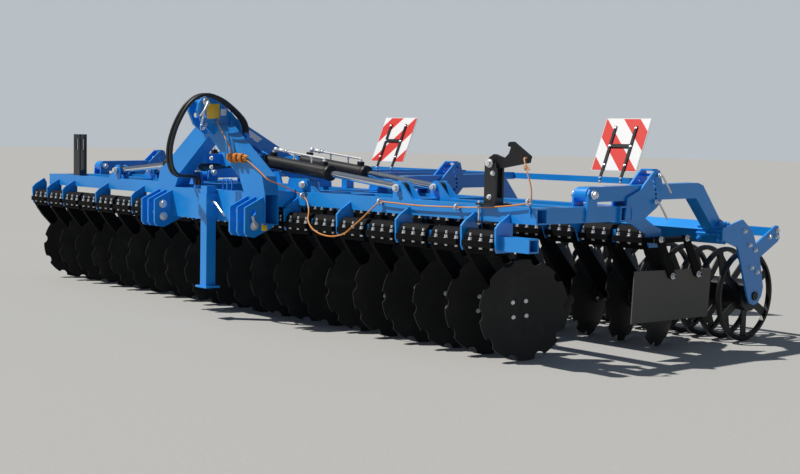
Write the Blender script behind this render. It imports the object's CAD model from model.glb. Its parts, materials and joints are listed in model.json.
# Folding disc harrow: camera, light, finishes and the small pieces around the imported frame
import json
import math

import bpy
from mathutils import Matrix, Vector


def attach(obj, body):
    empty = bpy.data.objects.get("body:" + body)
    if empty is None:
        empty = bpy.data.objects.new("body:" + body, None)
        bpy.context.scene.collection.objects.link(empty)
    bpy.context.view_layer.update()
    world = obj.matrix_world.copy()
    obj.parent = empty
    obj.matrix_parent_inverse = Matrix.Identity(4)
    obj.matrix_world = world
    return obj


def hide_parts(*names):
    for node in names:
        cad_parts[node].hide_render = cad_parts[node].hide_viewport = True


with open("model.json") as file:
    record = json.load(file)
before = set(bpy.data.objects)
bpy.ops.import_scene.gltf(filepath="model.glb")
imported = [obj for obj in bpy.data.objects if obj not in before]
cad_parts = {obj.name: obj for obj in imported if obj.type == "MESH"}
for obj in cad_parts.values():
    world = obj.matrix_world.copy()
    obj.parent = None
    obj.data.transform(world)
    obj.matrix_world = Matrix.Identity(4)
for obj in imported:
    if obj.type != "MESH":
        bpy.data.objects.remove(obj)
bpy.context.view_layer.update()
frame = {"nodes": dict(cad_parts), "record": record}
nodes = frame["nodes"]
print("frame loaded:", len(nodes), "nodes")

# The source's sizes are given about the front clamp bolts; this moves them to the frame
shift = Vector((0.005455, -1.102557, 0))


def placed(x, y, z):
    return Vector((x, y, z)) + shift


# Camera

view = {"eye": (6.9282, -4.6511, 1.1236), "yaw": 41.3437, "pitch": 4.2416, "roll": 1.1744,
        "focal": 1334.97, "width": 800}


def makeCamera():
    yaw, pitch, roll = (math.radians(view[k]) for k in ("yaw", "pitch", "roll"))
    look = Vector((-math.cos(yaw) * math.cos(pitch), math.sin(yaw) * math.cos(pitch),
                   -math.sin(pitch)))
    flat = Vector((math.sin(yaw), math.cos(yaw), 0))
    level = flat.cross(look)
    right = math.cos(roll) * flat + math.sin(roll) * level
    up = math.cos(roll) * level - math.sin(roll) * flat
    data = bpy.data.cameras.new("camera")
    data.sensor_width = 36
    data.lens = view["focal"] / view["width"] * data.sensor_width
    data.clip_end = 100
    camera = bpy.data.objects.new("camera", data)
    bpy.context.scene.collection.objects.link(camera)
    turn = Matrix((right, up, -look)).transposed()
    camera.matrix_world = Matrix.Translation(placed(*view["eye"])) @ turn.to_4x4()
    bpy.context.scene.camera = camera


makeCamera()
print("camera set")


# Shader helper: an expression on values adds its Math nodes

class Value:
    def __init__(self, tree, socket):
        self.tree = tree
        self.socket = socket

    def maths(self, operation, *others):
        return addNode(self.tree, "ShaderNodeMath", {"operation": operation},
                       dict(enumerate([self, *others])))

    def __add__(self, other):
        return self.maths("ADD", other)

    def __sub__(self, other):
        return self.maths("SUBTRACT", other)

    def __mul__(self, other):
        return self.maths("MULTIPLY", other)

    def __truediv__(self, other):
        return self.maths("DIVIDE", other)

    def __gt__(self, other):
        return self.maths("GREATER_THAN", other)

    def __lt__(self, other):
        return self.maths("LESS_THAN", other)

    def __mod__(self, other):
        return self.maths("FLOORED_MODULO", other)

    def __rsub__(self, other):
        return (self * -1) + other

    __radd__ = __add__
    __rmul__ = __mul__

    def clipped(self):
        return self.maths("MINIMUM", 1).maths("MAXIMUM", 0)


def addNode(tree, kind, settings=None, inputs=None, output=0):
    node = tree.nodes.new(kind)
    for name, value in (settings or {}).items():
        setattr(node, name, value)
    for name, value in (inputs or {}).items():
        if isinstance(value, Value):
            tree.links.new(value.socket, node.inputs[name])
        else:
            node.inputs[name].default_value = value
    return Value(tree, node.outputs[output])


def mixColours(tree, share, first, second):
    mix = tree.nodes.new("ShaderNodeMix")
    mix.data_type = "RGBA"
    for socket, value in ((mix.inputs[0], share), (mix.inputs[6], first), (mix.inputs[7], second)):
        if isinstance(value, Value):
            tree.links.new(value.socket, socket)
        else:
            socket.default_value = value if socket.type == "VALUE" else (*value, 1)
    return Value(tree, mix.outputs[2])


def startMaterial(name):
    material = bpy.data.materials.new(name)
    material.use_nodes = True
    tree = material.node_tree
    shader = tree.nodes["Principled BSDF"]
    place = addNode(tree, "ShaderNodeTexCoord", output=3)
    return material, tree, shader, place


def noise(tree, place, scale, detail=3, roughness=0.5):
    return addNode(tree, "ShaderNodeTexNoise", {}, {
        "Vector": place, "Scale": scale, "Detail": detail, "Roughness": roughness})


def feed(tree, shader, **inputs):
    for name, value in inputs.items():
        socket = shader.inputs[name.replace("_", " ")]
        if isinstance(value, Value):
            tree.links.new(value.socket, socket)
        else:
            socket.default_value = (*value, 1) if hasattr(value, "__len__") else value


def bump(tree, height, strength, distance):
    return addNode(tree, "ShaderNodeBump", {}, {
        "Height": height, "Strength": strength, "Distance": distance})


def coords(tree, place):
    split = tree.nodes.new("ShaderNodeSeparateXYZ")
    tree.links.new(place.socket, split.inputs[0])
    return [Value(tree, s) for s in split.outputs]


# Finishes

bluePaintLook = {"base": (0.008, 0.245, 0.72), "pale": (0.014, 0.290, 0.80), "rough": 0.30,
                 "dust": (0.36, 0.36, 0.34), "dustShare": 0.10, "coat": 0.35,
                 "cloudScale": 1.7, "peelScale": 420, "dustScale": 9}

# The transport lock's posts are black: middles in X, half width, range of Y and lowest Z
blackPosts = {"x": (2.2095, -2.1185), "half": 0.06, "y": (-1.02, -0.93), "z": 0.7985,
              "colour": (0.011, 0.011, 0.012)}


def bluePaint(name="bluePaint", hasPosts=False, look=bluePaintLook):
    material, tree, shader, place = startMaterial(name)
    cloud = noise(tree, place, look["cloudScale"], 4)
    orangePeel = noise(tree, place, look["peelScale"], 2)
    dustCloud = noise(tree, place, look["dustScale"], 6, 0.65)
    up = coords(tree, addNode(tree, "ShaderNodeNewGeometry", output=1))[2]
    dust = ((dustCloud - 0.45) * 3).clipped() * (up > 0.5) * look["dustShare"]
    colour = mixColours(tree, ((cloud - 0.35) * 3).clipped(), look["base"], look["pale"])
    if hasPosts:
        x, y, z = coords(tree, place)
        near = 0
        for middle in blackPosts["x"]:
            near = ((x - middle).maths("ABSOLUTE") < blackPosts["half"]) + near
        share = (near * (z > blackPosts["z"]) * (y > blackPosts["y"][0])
                 * (y < blackPosts["y"][1]))
        colour = mixColours(tree, share, colour, blackPosts["colour"])
    feed(tree, shader, Base_Color=mixColours(tree, dust, colour, look["dust"]),
         Roughness=(cloud * 0.12 + look["rough"] - 0.05 + dust).clipped(),
         Coat_Weight=look["coat"], Coat_Roughness=0.12, Specular_IOR_Level=0.5,
         Normal=bump(tree, orangePeel, 0.05, 0.0006))
    return material


blackPaintLook = {"cloudScale": 3.1, "paler": 1.9}

# The side plate at the end of the rear gang is greyer than the arms: its range of X
sidePlate = {"x": (2.589, 2.5968), "grey": (0.120, 0.118, 0.108)}


def blackPaint(name, base, rough, grain, gloss=0.3, hasSidePlate=False):
    material, tree, shader, place = startMaterial(name)
    cloud = noise(tree, place, blackPaintLook["cloudScale"], 5, 0.6)
    fine = noise(tree, place, grain, 3)
    pale = tuple(c * blackPaintLook["paler"] for c in base)
    colour = mixColours(tree, ((cloud - 0.4) * 3).clipped(), base, pale)
    if hasSidePlate:
        x = coords(tree, place)[0]
        share = (x > sidePlate["x"][0]) * (x < sidePlate["x"][1])
        colour = mixColours(tree, share, colour, sidePlate["grey"])
    feed(tree, shader, Base_Color=colour, Roughness=(cloud * 0.25 + rough - 0.1).clipped(),
         Specular_IOR_Level=gloss, Normal=bump(tree, fine, 0.12, 0.0008))
    return material


discLook = {"base": (0.020, 0.020, 0.019), "rough": 0.5, "scratch": (0.060, 0.058, 0.055),
            "cloudScale": 5.5, "streak": (40, 6, 6), "streakScale": 4, "grainScale": 260}


def discPaint(look=discLook):
    material, tree, shader, place = startMaterial("discPaint")
    cloud = noise(tree, place, look["cloudScale"], 6, 0.62)
    stretched = addNode(tree, "ShaderNodeMapping", {}, {"Vector": place, "Scale": look["streak"]})
    streak = noise(tree, stretched, look["streakScale"])
    share = ((cloud - 0.45) * 2.4).clipped() * ((streak - 0.3) * 2).clipped()
    feed(tree, shader, Base_Color=mixColours(tree, share, look["base"], look["scratch"]),
         Roughness=(look["rough"] + share * 0.25).clipped(), Specular_IOR_Level=0.25,
         Normal=bump(tree, noise(tree, place, look["grainScale"]), 0.08, 0.0008))
    return material


chromeLook = {"bright": (0.80, 0.81, 0.83), "smearScale": 12}

# The rods' eyes are painted: their middle on either side, their radius and colour
rodEyes = {"x": 1.513, "z": 0.855, "radius": 0.034, "colour": (0.02, 0.02, 0.021)}


def chrome(look=chromeLook):
    material, tree, shader, place = startMaterial("chrome")
    smear = noise(tree, place, look["smearScale"], 4)
    x, _, z = coords(tree, place)
    along = (x - shift.x).maths("ABSOLUTE") - rodEyes["x"]
    up = z - rodEyes["z"]
    painted = (along * along + up * up) < rodEyes["radius"] ** 2
    feed(tree, shader, Base_Color=mixColours(tree, painted, look["bright"], rodEyes["colour"]),
         Metallic=1 - painted, Roughness=(smear * 0.12 + 0.06 + painted * 0.3).clipped())
    return material


zincLook = {"dull": (0.70, 0.71, 0.72), "bright": (0.93, 0.94, 0.95), "metal": 0.45,
            "spotScale": 90}


def zinc(look=zincLook):
    material, tree, shader, place = startMaterial("zinc")
    spots = noise(tree, place, look["spotScale"], 4, 0.6)
    feed(tree, shader, Base_Color=mixColours(tree, spots, look["dull"], look["bright"]),
         Metallic=look["metal"], Roughness=spots * 0.25 + 0.22)
    return material


rubberLook = {"dark": (0.010, 0.010, 0.011), "worn": (0.025, 0.025, 0.026), "rough": 0.48,
              "grainScale": 500}


def rubber(look=rubberLook):
    material, tree, shader, place = startMaterial("hoseRubber")
    fine = noise(tree, place, look["grainScale"], 2)
    feed(tree, shader, Base_Color=mixColours(tree, fine, look["dark"], look["worn"]),
         Roughness=look["rough"], Normal=bump(tree, fine, 0.25, 0.0006))
    return material


ropeLook = {"orange": (0.80, 0.32, 0.07), "grey": (0.62, 0.58, 0.55), "twist": 900,
            "groove": (0.25, 0.10, 0.03)}


def ropeFibre(look=ropeLook):
    material, tree, shader, place = startMaterial("ropeFibre")
    x, y, z = coords(tree, place)
    strands = ((x + y * 0.8 + z * 1.1) * look["twist"]).maths("SINE") * 0.5 + 0.5
    faded = noise(tree, place, 6, 3)
    colour = mixColours(tree, ((faded - 0.5) * 4).clipped(), look["orange"], look["grey"])
    feed(tree, shader, Base_Color=mixColours(tree, strands * 0.4, colour, look["groove"]),
         Roughness=0.85, Normal=bump(tree, strands, 0.5, 0.001))
    return material


# Warning boards, in metres: middle X on either side, lower edge, side and lean of the plates
boards = {"x": 1.160, "y": 2.308, "z": 0.932, "side": 0.385, "lean": 23, "sheet": 0.0012,
          "margin": 0.010, "fronts": 0.0003, "backs": 0.0043, "edge": 0.0004}
stripeLook = {"red": (0.72, 0.035, 0.025), "white": (0.86, 0.86, 0.86), "pitch": 0.2,
              "phase": 0.02, "cellScale": 260}


def boardStripes(name, slant, look=stripeLook):
    material, tree, shader, place = startMaterial(name)
    x, _, z = coords(tree, place)
    along = (x * slant + z / math.cos(math.radians(boards["lean"]))) * math.sqrt(0.5)
    share = ((along + look["phase"]) / look["pitch"] % 1.0) > 0.5
    cells = addNode(tree, "ShaderNodeTexVoronoi", {"feature": "DISTANCE_TO_EDGE"}, {
        "Vector": place, "Scale": look["cellScale"]})
    colour = mixColours(tree, share, look["red"], look["white"])
    feed(tree, shader, Base_Color=colour, Roughness=0.35, Coat_Weight=0.3,
         Normal=bump(tree, cells, 0.1, 0.0004))
    return material


# What tells the light bar's paints apart: how far the brackets hang under the boards, the
# distance from the middle past which they start, and the depth of the plates' front
barLook = {"bracketDrop": 0.038, "armsWithin": 0.6, "plateFace": -0.001,
           "bracket": (0.012, 0.012, 0.013), "plate": (0.75, 0.75, 0.74)}


def barAndBoards(look=barLook):
    # blue bar and arms, black brackets in front of the boards, white painted board plates
    material, tree, shader, place = startMaterial("barAndBoards")
    x, y, z = coords(tree, place)
    lean = math.radians(boards["lean"])
    start = placed(0, boards["y"], boards["z"])
    depth = (y - start.y) * math.cos(lean) - (z - start.z) * math.sin(lean)
    isUpper = (z > start.z - look["bracketDrop"]) * (x.maths("ABSOLUTE") > look["armsWithin"])
    isPlate = depth > look["plateFace"]
    cloud = noise(tree, place, 2, 4)
    blue = mixColours(tree, ((cloud - 0.35) * 3).clipped(), bluePaintLook["base"],
                      bluePaintLook["pale"])
    upper = mixColours(tree, isPlate, look["bracket"], look["plate"])
    feed(tree, shader, Base_Color=mixColours(tree, isUpper, blue, upper),
         Roughness=cloud * 0.12 + 0.27, Coat_Weight=0.3,
         Normal=bump(tree, noise(tree, place, bluePaintLook["peelScale"], 2), 0.05, 0.0006))
    return material


finishes = {
    "blue_paint": bluePaint(),
    "black_paint": blackPaint("blackPaint", (0.010, 0.010, 0.011), 0.42, 300),
    "roller_paint": blackPaint("rollerPaint", (0.009, 0.009, 0.010), 0.38, 260),
    "disc_steel": discPaint(),
    "rod_chrome": chrome(),
    "board_paint": barAndBoards(),
    "hose_rubber": rubber(),
    "rope_fibre": ropeFibre(),
}
zincFinish = zinc()
wingPaint = bluePaint("bluePaintWings", hasPosts=True)
armPaint = blackPaint("armPaint", (0.0040, 0.0040, 0.0043), 0.62, 300, gloss=0.08,
                      hasSidePlate=True)
for part in frame["record"]["subparts"]:
    material = finishes[part["material_slot"]]
    if part["node"].startswith("wing_frame"):
        material = wingPaint
    if part["node"].startswith("arms"):
        material = armPaint
    mesh = nodes[part["node"]].data
    mesh.materials.clear()
    mesh.materials.append(material)
print("finishes made")


# Helpers for new pieces

def deselect():
    bpy.ops.object.select_all(action="DESELECT")


def finishPiece(piece, name, body, material, smooth=30):
    # the place goes into the mesh, so that the object sits at the origin
    deselect()
    piece.select_set(True)
    bpy.context.view_layer.objects.active = piece
    bpy.ops.object.transform_apply(location=True, rotation=True, scale=True)
    bpy.ops.object.shade_smooth_by_angle(angle=math.radians(smooth))
    piece.name = name
    piece.data.name = name
    piece.data.materials.clear()
    piece.data.materials.append(material)
    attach(piece, body)
    return piece


def joinPieces(pieces):
    deselect()
    for piece in pieces:
        piece.select_set(True)
    bpy.context.view_layer.objects.active = pieces[0]
    if len(pieces) > 1:
        bpy.ops.object.join()
    bpy.ops.object.transform_apply(location=True, rotation=True, scale=True)
    return bpy.context.view_layer.objects.active


def copyAt(model, matrix):
    twin = model.copy()
    twin.data = model.data.copy()
    bpy.context.scene.collection.objects.link(twin)
    twin.matrix_world = matrix
    return twin


# Cords: routes in millimetres about the front clamp bolts, as in the source; the pitch is
# the step from hose to hose, and the diameters are in metres

ropeLay = {
    "diameter": 0.008,
    "centre": [
        (75, -117, 1214), (81, -117, 1214), (94, -129, 1202), (112, -138, 1186),
        (170, -140, 1130), (228, -144, 1072), (265, -149, 1028), (310, -152, 992),
        (380, -152, 984), (440, -148, 972), (500, -141, 940), (566, -138, 905),
        (622, -128, 868), (632, -70, 846), (640, -10, 822), (655, 42, 797)],
    "wing": [
        (662, 47, 794), (693, 70, 774), (740, 66, 748), (807, 30, 695), (872, -24, 647),
        (933, -44, 606), (1002, -50, 582), (1065, -50, 572), (1124, -50, 571),
        (1185, -50, 580), (1241, -48, 598), (1295, -44, 634), (1330, -20, 672),
        (1348, 20, 712), (1362, 55, 748), (1389, 70, 774), (1450, 70, 775), (1700, 70, 770),
        (1940, 70, 775), (1997, 70, 777), (2060, 70, 779), (2250, 70, 790), (2440, 70, 812),
        (2497, 70, 826), (2512, 70, 832), (2515, 70, 852), (2508, 72, 900), (2480, 76, 965),
        (2452, 84, 1020), (2436, 98, 1038), (2436, 114.7, 1038)]}
hoseLay = {
    "diameter": 0.022, "pitch": 36,
    "points": [
        (100, 60, 1135), (100, 60, 1165), (100, 35, 1215), (100, -35, 1276), (100, -130, 1334),
        (95, -240, 1358), (75, -330, 1310), (45, -390, 1200), (10, -415, 1080),
        (-30, -400, 980), (-80, -350, 905), (-140, -270, 868), (-185, -180, 862),
        (-203, -110, 855), (-205, -85, 835), (-205, -85, 805)]}


def tubeCurve(name, points, diameter, sides=3):
    # a round tube with closed ends, in metres
    data = bpy.data.curves.new(name, "CURVE")
    data.dimensions = "3D"
    data.bevel_depth = diameter / 2
    data.bevel_resolution = sides
    data.use_fill_caps = True
    spline = data.splines.new("POLY")
    spline.points.add(len(points) - 1)
    for spot, point in zip(spline.points, points):
        spot.co = (*point, 1)
    piece = bpy.data.objects.new(name, data)
    bpy.context.scene.collection.objects.link(piece)
    return piece


def cordCurve(name, points, diameter, body, material):
    piece = tubeCurve(name, points, diameter)
    piece.data.materials.append(material)
    length = sum((b - a).length for a, b in zip(points, points[1:]))
    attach(piece, body)
    return piece


def smoothRoute(points, steps=4):
    # a Catmull-Rom line through the route's own points
    route = [placed(*(v / 1000 for v in p)) for p in points]
    ends = [2 * route[0] - route[1], *route, 2 * route[-1] - route[-2]]
    line = []
    for k in range(1, len(ends) - 2):
        a, b, c, d = ends[k - 1:k + 3]
        for s in range(steps):
            t = s / steps
            line.append(0.5 * (2 * b + (c - a) * t + (2 * a - 5 * b + 4 * c - d) * t * t
                               + (3 * b - a - 3 * c + d) * t ** 3))
    line.append(route[-1])
    return line


def bentRod(points, diameter, sides=3):
    # a round rod along points in millimetres, made as a curve and turned into a mesh
    line = [[v / 1000 for v in point] for point in points]
    piece = tubeCurve("rod", line, diameter / 1000, sides)
    deselect()
    piece.select_set(True)
    bpy.context.view_layer.objects.active = piece
    bpy.ops.object.convert(target="MESH")
    return bpy.context.active_object


# The rope's spare length, wound in long turns in front of the leg and tied in three places
hank = {"x": (226, 432), "y": -147, "z": 986, "turns": 7, "wide": 30, "rope": 8, "steps": 24,
        "outward": 2.4, "upward": 2.6}
tie = {"inset": 46, "deep": 21, "high": 26, "pitch": 8, "turns": 3, "rope": 7, "steps": 16}


def makeHank():
    x0, x1 = hank["x"]
    line = []
    for k in range(hank["turns"] * hank["steps"] + 1):
        angle = 2 * math.pi * k / hank["steps"]
        layer = k / hank["steps"] - (hank["turns"] - 1) / 2
        line.append(((x0 + x1) / 2 + (x1 - x0) / 2 * math.cos(angle),
                     hank["y"] + layer * hank["outward"] * math.cos(angle * 0.5),
                     hank["z"] + hank["wide"] / 2 * math.sin(angle) + layer * hank["upward"]))
    parts = [bentRod(line, hank["rope"], 2)]
    for x in (x0 + tie["inset"], (x0 + x1) / 2, x1 - tie["inset"]):
        coil = []
        for k in range(tie["turns"] * tie["steps"] + 1):
            angle = 2 * math.pi * k / tie["steps"]
            coil.append((x + (k / tie["steps"] - tie["turns"] / 2) * tie["pitch"],
                         hank["y"] + tie["deep"] * math.cos(angle),
                         hank["z"] + tie["high"] * math.sin(angle)))
        parts.append(bentRod(coil, tie["rope"], 2))
    return joinPieces(parts)


winding = makeHank()
winding.location = shift
finishPiece(winding, "ropeHank", "frame", finishes["rope_fibre"], 60)
cordCurve("ropeCentre", smoothRoute(ropeLay["centre"]), ropeLay["diameter"], "frame",
          finishes["rope_fibre"])
ropeWing = cordCurve("ropeWing", smoothRoute(ropeLay["wing"]), ropeLay["diameter"],
                     "wing_left", finishes["rope_fibre"])
for k in range(2):
    points = [(x + k * hoseLay["pitch"], y, z) for x, y, z in hoseLay["points"]]
    cordCurve(f"hose{k + 1}", smoothRoute(points), hoseLay["diameter"], "frame",
                           finishes["hose_rubber"])
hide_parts("centre_cords")
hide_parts("rope_wing")
print("cords laid")


# Warning boards: a striped reflective sheet on the front and the back of each plate

def boardSheet(side):
    lean = math.radians(boards["lean"])
    sheets = []
    for face in (-1, 1):
        bpy.ops.mesh.primitive_plane_add(size=boards["side"] - boards["margin"])
        sheet = bpy.context.active_object
        bpy.ops.object.mode_set(mode="EDIT")
        bpy.ops.mesh.extrude_region_move(
            TRANSFORM_OT_translate={"value": (0, 0, boards["sheet"])})
        bpy.ops.object.mode_set(mode="OBJECT")
        bevel = sheet.modifiers.new("soft", "BEVEL")
        bevel.width = boards["edge"]
        bpy.ops.object.modifier_apply(modifier="soft")
        depth = -boards["sheet"] - boards["fronts"] if face < 0 else boards["backs"]
        sheet.matrix_world = (
            Matrix.Translation(placed(side * boards["x"], boards["y"], boards["z"]))
            @ Matrix.Rotation(-lean, 4, "X")
            @ Matrix.Translation((0, depth, boards["side"] / 2))
            @ Matrix.Rotation(math.pi / 2, 4, "X")
            @ Matrix.Translation((0, 0, -boards["sheet"])))
        sheets.append(sheet)
    name = "boardStripesLeft" if side > 0 else "boardStripesRight"
    material = boardStripes(name, 1 if side > 0 else -1)
    return finishPiece(joinPieces(sheets), name, "frame", material)


for side in (-1, 1):
    boardSheet(side)
print("boards striped")


# Small pieces: sizes in millimetres, places about the front clamp bolts as in the source

def seat(x, y, z, axis=(0, 0, 1), turn=0):
    # a place whose local Z looks along axis
    facing = Vector(axis).to_track_quat("Z", "Y").to_matrix().to_4x4()
    return (Matrix.Translation(placed(x / 1000, y / 1000, z / 1000)) @ facing
            @ Matrix.Rotation(math.radians(turn), 4, "Z"))


def soften(piece, width, segments=2, angle=40):
    bevel = piece.modifiers.new("soft", "BEVEL")
    bevel.width = width / 1000
    bevel.segments = segments
    bevel.limit_method = "ANGLE"
    bevel.angle_limit = math.radians(angle)
    bpy.context.view_layer.objects.active = piece
    bpy.ops.object.modifier_apply(modifier="soft")
    return piece


def drum(radius, height, base=0, sides=24, bevel=0, x=0, y=0):
    deselect()
    bpy.ops.mesh.primitive_cylinder_add(
        vertices=sides, radius=radius / 1000, depth=height / 1000,
        location=(x / 1000, y / 1000, (base + height / 2) / 1000))
    piece = bpy.context.active_object
    return soften(piece, bevel) if bevel else piece


def block(size, middle, bevel=1):
    deselect()
    bpy.ops.mesh.primitive_cube_add(size=1, location=[v / 1000 for v in middle])
    piece = bpy.context.active_object
    piece.scale = [v / 1000 for v in size]
    bpy.ops.object.transform_apply(location=True, rotation=True, scale=True)
    return soften(piece, bevel) if bevel else piece


def ringAt(radius, thickness, middle=(0, 0, 0), turn=(0, 0, 0)):
    deselect()
    bpy.ops.mesh.primitive_torus_add(
        major_radius=radius / 1000, minor_radius=thickness / 2000, major_segments=24,
        minor_segments=8, location=[v / 1000 for v in middle],
        rotation=[math.radians(v) for v in turn])
    return bpy.context.active_object


def rounded(points, radius, steps=5):
    # the same line with its corners rounded
    line = [Vector(points[0])]
    for a, b, c in zip(points, points[1:], points[2:]):
        a, b, c = Vector(a), Vector(b), Vector(c)
        before = b + (a - b).normalized() * min(radius, (a - b).length / 2)
        after = b + (c - b).normalized() * min(radius, (c - b).length / 2)
        for k in range(steps + 1):
            t = k / steps
            line.append((1 - t) ** 2 * before + 2 * t * (1 - t) * b + t * t * after)
    return [*line, Vector(points[-1])]


def spread(model, name, body, places, material=zincFinish):
    copies = [copyAt(model, place) for place in places]
    piece = finishPiece(joinPieces(copies), name, body, material)
    print("  ", name, len(places), "places")
    return piece


def discard(*models):
    for model in models:
        bpy.data.objects.remove(model)


# Bolts, nuts and washers

def makeNut(flats, height, washer, tip, shank):
    return joinPieces([
        drum(flats * 0.72, washer, bevel=0.5),
        drum(flats / math.sqrt(3), height, base=washer, sides=6, bevel=1.2),
        drum(shank / 2, tip, base=washer + height - 1, sides=16, bevel=1.4)])


def makeBolt(flats, height, washer):
    return joinPieces([
        drum(flats * 0.74, washer, bevel=0.5),
        drum(flats / math.sqrt(3), height, base=washer, sides=6, bevel=1.4)])


rows = {"pitch": 250, "front": (-2500, 0), "rear": (-2375, 995), "flangeTop": 623,
        "flangeBottom": 593, "spread": (-75, 0, 75), "back": 110}
wings = {"right": range(0, 7), "centre": range(7, 13), "left": range(13, 20)}
bodyOf = {"right": "wing_right", "centre": "frame", "left": "wing_left"}

clampStud = makeNut(flats=20, height=13, washer=2.5, tip=22, shank=13)
clampNut = makeNut(flats=18, height=9, washer=2, tip=4, shank=12)
for group, numbers in wings.items():
    upper, lower = [], []
    for startX, rowY in (rows["front"], rows["rear"]):
        for i in numbers:
            for dx in rows["spread"]:
                for dy in (0, rows["back"]):
                    x = startX + rows["pitch"] * i + dx
                    turn = (i * 37 + dx + dy) % 60
                    upper.append(seat(x, rowY + dy, rows["flangeTop"], turn=turn))
                    lower.append(seat(x, rowY + dy, rows["flangeBottom"], (0, 0, -1), turn))
    spread(clampStud, "clampStuds" + group.title(), bodyOf[group], upper)
    spread(clampNut, "clampNuts" + group.title(), bodyOf[group], lower)
discard(clampStud, clampNut)

# Disc bolts: round heads on the dished face and nuts on the hub's flange. The heads' and
# nuts' numbers are radius, height and start along the disc's axis
discs = {"radius": 260, "dish": 660, "sheet": 6, "yaw": 17, "trail": 300, "side": 20,
         "circle": 54, "count": 4, "head": (12, 6, 1.5), "crown": 3.4, "nut": (9.5, 9, -19),
         "tip": (5, 5, -23), "phase": lambda i: ((i * 7) % 5 - 2) * 4}
discs["depth"] = discs["dish"] - math.sqrt(discs["dish"] ** 2 - discs["radius"] ** 2)


def discPlace(row, i):
    startX, rowY = rows[row]
    side = 1 if row == "front" else -1
    x = startX + rows["pitch"] * i + side * discs["side"]
    return (Matrix.Translation(placed(x / 1000, (rowY + discs["trail"]) / 1000,
                                      discs["radius"] / 1000))
            @ Matrix.Rotation(math.radians(-discs["yaw"] * side), 4, "Z")
            @ Matrix.Rotation(math.radians(90 * side), 4, "Y")
            @ Matrix.Rotation(math.radians(180), 4, "Z")
            @ Matrix.Translation((0, 0, -discs["depth"] / 1000))
            @ Matrix.Rotation(math.radians(discs["phase"](i)), 4, "Z"))


def makeDiscBolts():
    parts = []
    faceZ = discs["dish"] - math.sqrt((discs["dish"] - discs["sheet"]) ** 2 - discs["circle"] ** 2)
    radius, height, sunk = discs["head"]
    for k in range(discs["count"]):
        angle = math.radians(45 + 360 / discs["count"] * k)
        x, y = discs["circle"] * math.cos(angle), discs["circle"] * math.sin(angle)
        head = drum(radius, height, base=faceZ - sunk, sides=20, x=x, y=y)
        parts.append(soften(head, discs["crown"], 3))
        for (wide, high, base), sides in ((discs["nut"], 6), (discs["tip"], 12)):
            parts.append(drum(wide, high, base=base, sides=sides, bevel=1, x=x, y=y))
    return joinPieces(parts)


discBolts = makeDiscBolts()
for row in ("front", "rear"):
    for i in range(20):
        body = f"disc_{row[0]}{i + 1:02d}"
        finishPiece(copyAt(discBolts, discPlace(row, i)), "bolts_" + body, body, zincFinish)
discard(discBolts)
print("disc bolts set")

# Axle end nuts on the arms' bosses, this far behind the discs
axleNut = makeNut(flats=36, height=9, washer=3, tip=3, shank=24)
axleEnd = 88


def axlePlace(row, i):
    return (discPlace(row, i) @ Matrix.Translation((0, 0, -axleEnd / 1000))
            @ Matrix.Rotation(math.pi, 4, "X"))


for group, numbers in wings.items():
    places = [axlePlace(row, i) for row in ("front", "rear") for i in numbers]
    spread(axleNut, "axleNuts" + group.title(), bodyOf[group], places)
discard(axleNut)

# Pins with their bolts and washers; half is half the pin's length
pinBolt = makeBolt(flats=24, height=13, washer=4)
bigBolt = makeBolt(flats=30, height=15, washer=5)
smallBolt = makeBolt(flats=19, height=10, washer=3)

fold = {"x": 680, "z": 840, "y": (127, 767), "half": 46, "turn": 10}
lug = {"x": 1513, "z": 855, "y": (127, 400), "half": 46, "turn": 25}
base = {"x": 230, "z": 970, "y": (127, 400), "half": 41, "turn": 5}
pivot = {"x": (2480, 960), "y": 500, "z": 858, "half": 60, "turn": 15}
post = {"x": 2204, "y": 127, "z": 1007, "half": 34}


def pinPlaces(pin, s, face):
    # one end of each pin that lies along Y
    return [seat(s * pin["x"], y + face * pin["half"], pin["z"], (0, face, 0), pin["turn"])
            for y in pin["y"]]


foldPlaces, lugPlaces, basePlaces = [], {1: [], -1: []}, []
for s in (1, -1):
    for face in (1, -1):
        foldPlaces += pinPlaces(fold, s, face)
        lugPlaces[s] += pinPlaces(lug, s, face)
        basePlaces += pinPlaces(base, s, face)
        lugPlaces[s] += [seat(s * x + face * pivot["half"], pivot["y"], pivot["z"],
                              (face, 0, 0), pivot["turn"]) for x in pivot["x"]]
spread(bigBolt, "foldPinBolts", "frame", foldPlaces)
spread(pinBolt, "basePinBolts", "frame", basePlaces)
lugPlaces[1] += [seat(post["x"], post["y"] + face * post["half"], post["z"], (0, face, 0))
                 for face in (1, -1)]
for s, side in ((1, "Left"), (-1, "Right")):
    spread(bigBolt, "wingPinBolts" + side, "wing_" + side.lower(), lugPlaces[s])

# Rope eyes: a bright ring on each; places in X and Z
eyes = {"places": ((693, 774), (1389, 774), (1997, 777), (2497, 826)), "y": 70, "radius": 14.5,
        "wire": 11}
eyeRing = ringAt(eyes["radius"], eyes["wire"])
spread(eyeRing, "ropeEyes", "wing_left",
       [seat(x, eyes["y"], z, (1, 0, 0)) for x, z in eyes["places"]])
discard(eyeRing)

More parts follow.
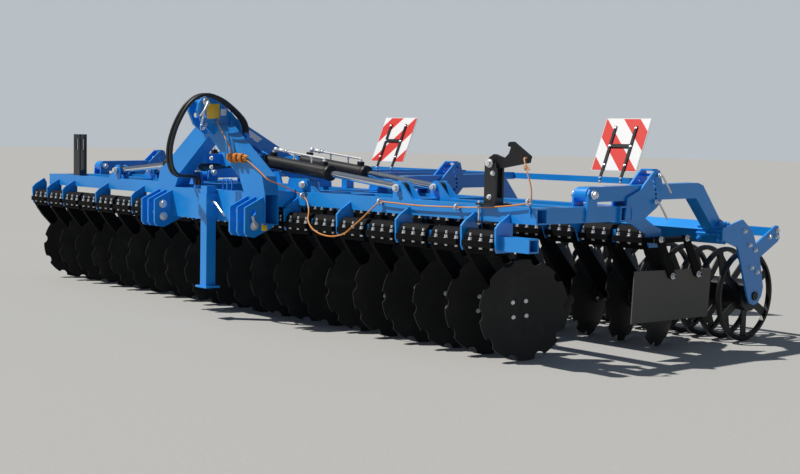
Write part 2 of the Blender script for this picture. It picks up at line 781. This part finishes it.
# The hook's post: clamp plates over and under the tube, long bolts, bolts on its face.
# The bolts' places are X from the post and Y, the face bolts' X from the post and Z
foot = {"size": (122, 136, 8), "y": 127, "low": 717, "high": 797, "away": 5, "edge": 1.5,
        "bolts": ((-50, 75.5), (50, 176)), "bolt": 5, "past": 22, "nut": (10, 9), "nutAway": 8,
        "faceY": 97, "faceBolts": ((0, 838), (22, 958))}
feet = joinPieces([block(foot["size"], (post["x"], foot["y"], z), foot["edge"])
                   for z in (foot["low"] - foot["away"], foot["high"] + foot["away"])])
feet.location = shift
finishPiece(feet, "postPlates", "wing_left", finishes["black_paint"])
grip = foot["high"] - foot["low"]
longBolt = joinPieces([
    drum(foot["bolt"], grip + 2 * foot["past"], base=-foot["past"], sides=16, bevel=1),
    drum(*foot["nut"], base=grip + foot["nutAway"], sides=6, bevel=1),
    drum(*foot["nut"], base=-foot["nutAway"] - foot["nut"][1], sides=6, bevel=1)])
spread(longBolt, "postBolts", "wing_left",
       [seat(post["x"] + dx, y, foot["low"]) for dx, y in foot["bolts"]])
spread(smallBolt, "postFaceBolts", "wing_left",
       [seat(post["x"] + dx, foot["faceY"], z, (0, -1, 0)) for dx, z in foot["faceBolts"]])
discard(longBolt)

# Side plate: its bolts and those of its arms, as Y, Z and turn
sidePlateBolts = {"x": 2603,
                  "places": ((1083, 424, 10), (1308, 424, 20), (971, 622, 0), (1196, 622, 15))}
sideBolt = makeNut(flats=24, height=11, washer=3, tip=6.9, shank=19)
spread(sideBolt, "sidePlateBolts", "wing_left",
       [seat(sidePlateBolts["x"], y, z, (1, 0, 0), turn)
        for y, z, turn in sidePlateBolts["places"]])
discard(sideBolt)

# Roller frames: bolts of the end plates and of the tail arms, in Y and Z, and the beam's clamps
ends = {"x": 2578, "bolts": ((1870, 529), (1897, 402), (1815, 560), (1840, 430), (1760, 640)),
        "tail": ((2009, 600), (2084, 634), (2078, 600))}
for s, side in ((1, "Left"), (-1, "Right")):
    places = [seat(s * ends["x"], y, z, (s, 0, 0), y % 60)
              for y, z in (*ends["bolts"], *ends["tail"])]
    spread(smallBolt, "rollerEndBolts" + side, "roller_arms_" + side.lower(), places)

beam = {"y": 1612, "z": 632, "turn": 30, "half": 45, "clamp": (160, 60, 14), "studs": 64}


def makeBeamClamp():
    # a plate on the beam's upper face beside the arm, with two studs and nuts
    thick = beam["clamp"][2]
    nut = makeNut(flats=24, height=14, washer=3, tip=10, shank=16)
    studs = [copyAt(nut, Matrix.Translation((dx / 1000, 0, thick / 1000)))
             for dx in (-beam["studs"], beam["studs"])]
    discard(nut)
    return joinPieces([block(beam["clamp"], (0, 0, thick / 2), 1.5), *studs])


beamClamp = makeBeamClamp()
for s, side in ((1, "Left"), (-1, "Right")):
    places = []
    for x in pivot["x"]:
        for face in (0, 90):
            rest = Matrix.Translation(placed(s * x / 1000, beam["y"] / 1000, beam["z"] / 1000))
            places.append(rest @ Matrix.Rotation(math.radians(beam["turn"] + 90 - face), 4, "X")
                          @ Matrix.Translation((0, 0, beam["half"] / 1000)))
    spread(beamClamp, "beamClamps" + side, "roller_arms_" + side.lower(), places,
           finishes["blue_paint"])
discard(beamClamp)

# Sector plates: a cross plate on top and the bent handles of the set pins. The pins' places
# and the cross plate's are Y and Z
sector = {"low": (995, 816.1), "high": (1018, 955), "half": 64, "down": (0, 0.62, -0.78),
          "cross": (80, 46, 10), "crossAt": (1010, 983)}
setPin = {"line": [(0, 0, -4), (0, 0, 18), (70, 0, 22), (118, 0, 22)], "bend": 10, "rod": 11,
          "washer": (13, 5), "ring": (9, 3)}


def makePinHandle():
    rod = bentRod(rounded(setPin["line"], setPin["bend"]), setPin["rod"])
    return joinPieces([rod, drum(*setPin["washer"], bevel=1),
                       ringAt(*setPin["ring"], middle=(0, 0, 8), turn=(90, 0, 0))])


pinHandle = makePinHandle()
crossPlate = block(sector["cross"], (0, 0, 0), 2)
for s, side in ((1, "Left"), (-1, "Right")):
    places = []
    for x in pivot["x"]:
        for y, z in (sector["low"], sector["high"]):
            out = s if x == max(pivot["x"]) else -s  # the outer arms' pins point outwards
            spot = Matrix.Translation(placed((s * x + out * sector["half"]) / 1000, y / 1000,
                                             z / 1000))
            down = Vector(sector["down"])
            outward = Vector((out, 0, 0))
            turn = Matrix((down, outward.cross(down), outward)).transposed().to_4x4()
            places.append(spot @ turn)
    spread(pinHandle, "setPinHandles" + side, "wing_" + side.lower(), places)
    spread(crossPlate, "sectorCrossPlates" + side, "wing_" + side.lower(),
           [seat(s * x, *sector["crossAt"]) for x in pivot["x"]], finishes["blue_paint"])
discard(pinHandle, crossPlate)
print("pins set")

# Lower-link pins: flag handles outside and linch pins inside. X is the middle plate's, gap
# the step from plate to plate, z and upper the heights of the plates' two rows of holes
link = {"x": 498, "gap": 77, "halfPlate": 7, "y": -200, "z": 600, "upper": 678,
        "handleOut": 15, "linchIn": 14, "tilt": (0, -0.4, 0.9)}


def makeFlagPin():
    return joinPieces([
        drum(26, 8, bevel=1.5), block((16, 70, 10), (0, 26, 13), 2), drum(9, 20, base=3, bevel=1)])


def makeLinchPin():
    return joinPieces([drum(5, 52, base=-26, sides=16, bevel=1),
                       ringAt(20, 4, middle=(0, 0, 26), turn=(0, 90, 0))])


flagPin, linchPin = makeFlagPin(), makeLinchPin()
spread(flagPin, "linkPinHandles", "frame",
       [seat(s * (link["x"] + link["gap"] + link["handleOut"]), link["y"], link["z"],
             (s, 0, 0), 20) for s in (1, -1)])
spread(linchPin, "linkLinchPins", "frame",
       [seat(s * (link["x"] - link["halfPlate"] - link["linchIn"]), link["y"], link["z"],
             link["tilt"]) for s in (1, -1)])
discard(flagPin, linchPin)

# Top-link pin with its handle, and the chain that keeps it
topPin = {"y": -197, "z": 1317, "half": 70, "bend": 14, "rod": 12,
          "line": [(0, 0, 5), (0, 0, 26), (0, 62, 30), (0, 100, 16)]}
keeper = {"link": 19, "wire": 4, "points": [
    (82, -206, 1300), (84, -222, 1240), (80, -232, 1190), (74, -238, 1164), (68, -232, 1150),
    (64, -216, 1150), (62, -200, 1162), (60, -186, 1186)]}
handle = joinPieces([drum(24, 7, bevel=1.5),
                     bentRod(rounded(topPin["line"], topPin["bend"]), topPin["rod"])])
spread(handle, "topPinHandle", "frame",
       [seat(topPin["half"], topPin["y"], topPin["z"], (1, 0, 0), 150)])
discard(handle)


def makeChain(points, link, wire):
    # torus links stretched along a line, every second one a quarter turn further
    line = [Vector(p) for p in points]
    walk = [line[0]]
    for a, b in zip(line, line[1:]):
        step = max(1, round((b - a).length / (link * 0.72)))
        walk += [a + (b - a) * k / step for k in range(1, step + 1)]
    parts = []
    for k, (a, b) in enumerate(zip(walk, walk[1:])):
        piece = ringAt(link * 0.3, wire)
        piece.scale = (1.7, 1, 1)
        bpy.ops.object.transform_apply(scale=True)
        facing = (b - a).to_track_quat("X", "Z").to_matrix().to_4x4()
        piece.matrix_world = (Matrix.Translation(placed(*((a + b) / 2000))) @ facing
                              @ Matrix.Rotation(math.pi / 2 * (k % 2), 4, "X"))
        parts.append(piece)
    return joinPieces(parts)


finishPiece(makeChain(keeper["points"], keeper["link"], keeper["wire"]), "topPinChain", "frame",
            zincFinish)

# Bare plates on the tower and on the brace, in Y and Z, and bolts on the headstock's leg
plates = {"yellow": ((0.95, 0.55, 0.03), (1.0, 0.66, 0.07)), "thick": 0.8,
          "white": ((0.84, 0.87, 0.92), (0.95, 0.96, 0.98)), "grainScale": 60,
          "brace": ((61, 1186), (95, 1125), (220, 1100), (182, 1077)), "braceX": 71.2}
legBolts = {"y": -130, "places": ((38, 978, 0), (39, 923, 20))}  # X, Z and turn


def plateFinish(name, shades, rough):
    material, tree, shader, place = startMaterial(name)
    grain = noise(tree, place, plates["grainScale"])
    feed(tree, shader, Roughness=rough, Base_Color=mixColours(tree, grain, *shades))
    return material


plateYellow = plateFinish("plateYellow", plates["yellow"], 0.35)
plateWhite = plateFinish("plateWhite", plates["white"], 0.4)
for name, side, middle, material in (
        ("towerPlateLarge", 92, (57.4, -138, 1262), plateYellow),
        ("towerPlateSmall", 40, (57.4, -62, 1258), plateWhite),
        ("towerPlateLargeRight", 92, (-57.4, -138, 1262), plateYellow)):
    plate = block((plates["thick"], side, side), middle, 0.3)
    plate.location = shift
    finishPiece(plate, name, "frame", material)
deselect()
bpy.ops.mesh.primitive_plane_add()
bracePlate = bpy.context.active_object
for vertex, (y, z) in zip(bracePlate.data.vertices, plates["brace"]):
    vertex.co = placed(plates["braceX"] / 1000, y / 1000, z / 1000)
sheet = bracePlate.modifiers.new("sheet", "SOLIDIFY")
sheet.thickness = plates["thick"] / 1000
bpy.ops.object.modifier_apply(modifier="sheet")
finishPiece(bracePlate, "bracePlate", "frame", plateWhite)
spread(smallBolt, "legBolts", "frame",
       [seat(x, legBolts["y"], z, (0, -1, 0), turn) for x, z, turn in legBolts["places"]])

# Heads of the right bracket's pins on its inner side, the tag on the left bracket, the
# stand's handle and the hose loops
rightInside = link["gap"] + link["halfPlate"] - link["x"]
pinHead = joinPieces([drum(27, 8, bevel=1.5), drum(20, 18, base=3, bevel=3)])
spread(pinHead, "linkPinHeads", "frame", [
    seat(rightInside + 8, link["y"], link["z"], (1, 0, 0)),
    seat(rightInside, link["y"], link["upper"], (1, 0, 0))])
discard(pinHead)
tag = block((plates["thick"], 42, 42), (582.8, -121, 589), 0.3)
tag.location = shift
finishPiece(tag, "bracketTag", "frame", plateYellow)
standPin = {"line": [(101, -163, 716), (150, -176, 712), (262, -186, 640)], "bend": 16, "rod": 13,
            "seat": (14, 40, 44), "middle": (102, -163, 716)}
standHandle = bentRod(rounded(standPin["line"], standPin["bend"]), standPin["rod"])
standSeat = block(standPin["seat"], standPin["middle"], 3)
for piece, name, material, slot in (
        (standHandle, "standHandle", zincFinish, "rod_chrome"),
        (standSeat, "standHandleSeat", finishes["blue_paint"], "blue_paint")):
    piece.location = shift
    finishPiece(piece, name, "frame", material)
loops = {"half": 18, "high": 70, "rod": 10, "x": (112, 158), "y": -80, "z": 785, "turn": 20}
hoseLoop = bentRod(rounded([(-loops["half"], 0, -1), (-loops["half"], 0, loops["high"]),
                            (loops["half"], 0, loops["high"]), (loops["half"], 0, -1)], 17),
                   loops["rod"])
spread(hoseLoop, "hoseLoops", "frame",
       [seat(x, loops["y"], loops["z"], turn=loops["turn"]) for x in loops["x"]],
       finishes["blue_paint"])
discard(hoseLoop)

# Light bar: bolts of the brackets, as shares of a board's side, and bolts on the bar
barFixings = {"across": 0.23, "up": (0.456, 0.80, 0.10), "front": 10, "barY": 2279,
              "barZ": (860, 884)}
boardBolts, barBolts = [], []
lean = math.radians(boards["lean"])
side, middleX, lowY, lowZ = (boards[k] * 1000 for k in ("side", "x", "y", "z"))
for s in (1, -1):
    for u in (-1, 1):
        x = s * middleX + u * barFixings["across"] * side
        for v in barFixings["up"]:
            w = v * side
            y = lowY + w * math.sin(lean) - barFixings["front"] * math.cos(lean)
            z = lowZ + w * math.cos(lean) + barFixings["front"] * math.sin(lean)
            boardBolts.append(seat(x, y, z, (0, -math.cos(lean), math.sin(lean)), 30 * u))
        barBolts += [seat(x, barFixings["barY"], z, (0, -1, 0)) for z in barFixings["barZ"]]
tinyBolt = makeBolt(flats=13, height=6, washer=1.5)
spread(tinyBolt, "boardBolts", "frame", boardBolts)
spread(tinyBolt, "barBolts", "frame", barBolts)

# Fold cylinders: gland, end ring, port blocks and the steel pipe between them. Ports, clips
# and couplings are placed along the barrel from the base pin, and what ends in Out is from
# the barrel's outside. A coupling has its place, its step sideways and its radius
cylinder = {"y": (127, 400), "barrel": 660, "radius": 40, "sides": 48,
            "gland": {"proud": 5, "long": 34, "from": 36, "bore": 22},
            "ring": {"proud": 3, "long": 11, "start": 40.5},
            "ports": (92, 590), "port": (26, 30, 34), "portOut": 9}
pipe = {"low": 20, "high": 38, "bend": 14, "rod": 12, "nut": (13, 14), "nutOut": 22,
        "clips": (300, 470), "clip": (12, 20, 14), "clipOut": 36, "stand": (34, 8, 10),
        "standOut": 16, "couplingOut": 40, "couplingLong": 17,
        "couplings": ((120, 6, 15), (146, -4, 13), (168, 5, 11), (190, 0, 14), (214, 0, 11))}
tilt = math.atan2(base["z"] - lug["z"], lug["x"] - base["x"])


def cylinderPlace(s, y):
    # local Z runs from the base pin to the rod's eye, local X looks up
    along = Vector((s * math.cos(tilt), 0, -math.sin(tilt)))
    up = Vector((s * math.sin(tilt), 0, math.cos(tilt)))
    turn = Matrix((up, along.cross(up), along)).transposed().to_4x4()
    return Matrix.Translation(placed(s * base["x"] / 1000, y / 1000, base["z"] / 1000)) @ turn


def makeCylinderPaint():
    radius, sides = cylinder["radius"], cylinder["sides"]
    gland, ring = cylinder["gland"], cylinder["ring"]
    start = cylinder["barrel"] - gland["from"]
    hollow = drum(radius + gland["proud"], gland["long"], base=start, sides=sides, bevel=1.5)
    cutter = drum(gland["bore"], 60, base=start - 14, sides=sides)
    cut = hollow.modifiers.new("bore", "BOOLEAN")
    cut.operation = "DIFFERENCE"
    cut.object = cutter
    bpy.context.view_layer.objects.active = hollow
    bpy.ops.object.modifier_apply(modifier="bore")
    discard(cutter)
    return joinPieces([
        hollow,
        drum(radius + ring["proud"], ring["long"], base=ring["start"], sides=sides, bevel=2),
        *(block(cylinder["port"], (radius + cylinder["portOut"], 0, z), 2)
          for z in cylinder["ports"])])


def makeCylinderPipe():
    radius, (first, last) = cylinder["radius"], cylinder["ports"]
    low, high = radius + pipe["low"], radius + pipe["high"]
    parts = [bentRod(rounded([(low, 0, first), (high, 0, first), (high, 0, last), (low, 0, last)],
                             pipe["bend"]), pipe["rod"])]
    for z in cylinder["ports"]:
        nut = drum(*pipe["nut"], sides=6, bevel=1)
        nut.matrix_world = (Matrix.Translation(((radius + pipe["nutOut"]) / 1000, 0, z / 1000))
                            @ Matrix.Rotation(math.pi / 2, 4, "Y"))
        parts.append(nut)
    for z, y, size in pipe["couplings"]:
        nut = drum(size, pipe["couplingLong"], sides=6, bevel=1.5)
        nut.matrix_world = (
            Matrix.Translation(((radius + pipe["couplingOut"]) / 1000, y / 1000, z / 1000))
            @ Matrix.Rotation(math.radians(z), 4, "Z"))
        parts.append(nut)
    parts += [block(pipe["clip"], (radius + pipe["clipOut"], 0, z), 2) for z in pipe["clips"]]
    parts += [block(pipe["stand"], (radius + pipe["standOut"], 0, z), 1) for z in pipe["clips"]]
    return joinPieces(parts)


cylinderPaint, cylinderPipe = makeCylinderPaint(), makeCylinderPipe()
for s, side in ((1, "Left"), (-1, "Right")):
    places = [cylinderPlace(s, y) for y in cylinder["y"]]
    spread(cylinderPaint, "cylinderRings" + side, "barrels_" + side.lower(), places,
           finishes["black_paint"])
    spread(cylinderPipe, "cylinderPipes" + side, "barrels_" + side.lower(), places)
discard(cylinderPaint, cylinderPipe)
print("cylinders dressed")

# The rope's knot: three turns round the rope and two short ends, in the knot's own place
knot = {"middle": (2466, 80, 992), "along": (-28, 8, 55), "radius": 8, "long": 20, "steps": 12,
        "turns": 3, "rope": 8, "end": 7, "bend": 6,
        "ends": (((12, -6, -18), (16, -10, -34)), ((14, 4, -4), (20, 2, -22)))}


def makeKnot():
    facing = Vector(knot["along"]).to_track_quat("Z", "X").to_matrix()
    count = knot["turns"] * knot["steps"]
    coil = []
    for k in range(count + 1):
        angle = 2 * math.pi * k / knot["steps"]
        coil.append((knot["radius"] * math.cos(angle), knot["radius"] * math.sin(angle),
                     (k / count - 0.5) * knot["long"]))
    ends = [[start, *rest] for start, rest in zip((coil[0], coil[-1]), knot["ends"])]
    piece = joinPieces([bentRod(coil, knot["rope"], 2),
                        *(bentRod(rounded(end, knot["bend"]), knot["end"], 2) for end in ends)])
    piece.matrix_world = (Matrix.Translation(placed(*(v / 1000 for v in knot["middle"])))
                          @ facing.to_4x4())
    return piece


finishPiece(makeKnot(), "ropeKnot", "wing_left", finishes["rope_fibre"], 60)
discard(pinBolt, bigBolt, smallBolt, tinyBolt)
print("knot tied")


# Floor, backdrop and light

stageLook = {"floor": ((0.36, 0.36, 0.35), (0.44, 0.44, 0.43)), "sky": (0.62, 0.74, 0.92),
             "skyStrength": 0.24, "backdrop": (0.48, 0.52, 0.56),
             "sun": (-0.42, -0.40, 0.82), "sunPower": 4.4, "sunShade": (1.0, 0.96, 0.90),
             "sunWidth": 1.2}


def makeStage(look=stageLook):
    bpy.ops.mesh.primitive_plane_add(size=160, location=(0, 0, 0))
    floor = bpy.context.active_object
    floor.name = "floor"
    material, tree, shader, place = startMaterial("floor")
    grain = noise(tree, place, 55, 4, 0.7)
    feed(tree, shader, Base_Color=mixColours(tree, grain, *look["floor"]), Roughness=0.9,
         Specular_IOR_Level=0.2)
    floor.data.materials.append(material)
    world = bpy.data.worlds.new("sky")
    bpy.context.scene.world = world
    world.use_nodes = True
    tree = world.node_tree
    background = tree.nodes["Background"]
    seen = addNode(tree, "ShaderNodeLightPath", output=0)
    shade = mixColours(tree, seen, tuple(c * look["skyStrength"] for c in look["sky"]),
                       look["backdrop"])
    tree.links.new(shade.socket, background.inputs[0])
    data = bpy.data.lights.new("sun", "SUN")
    data.energy = look["sunPower"]
    data.color = look["sunShade"]
    data.angle = math.radians(look["sunWidth"])
    sun = bpy.data.objects.new("sun", data)
    sun.rotation_euler = Vector(look["sun"]).to_track_quat("Z", "Y").to_euler()
    bpy.context.scene.collection.objects.link(sun)


makeStage()
bpy.context.scene.view_settings.view_transform = "Standard"
print("stage lit")
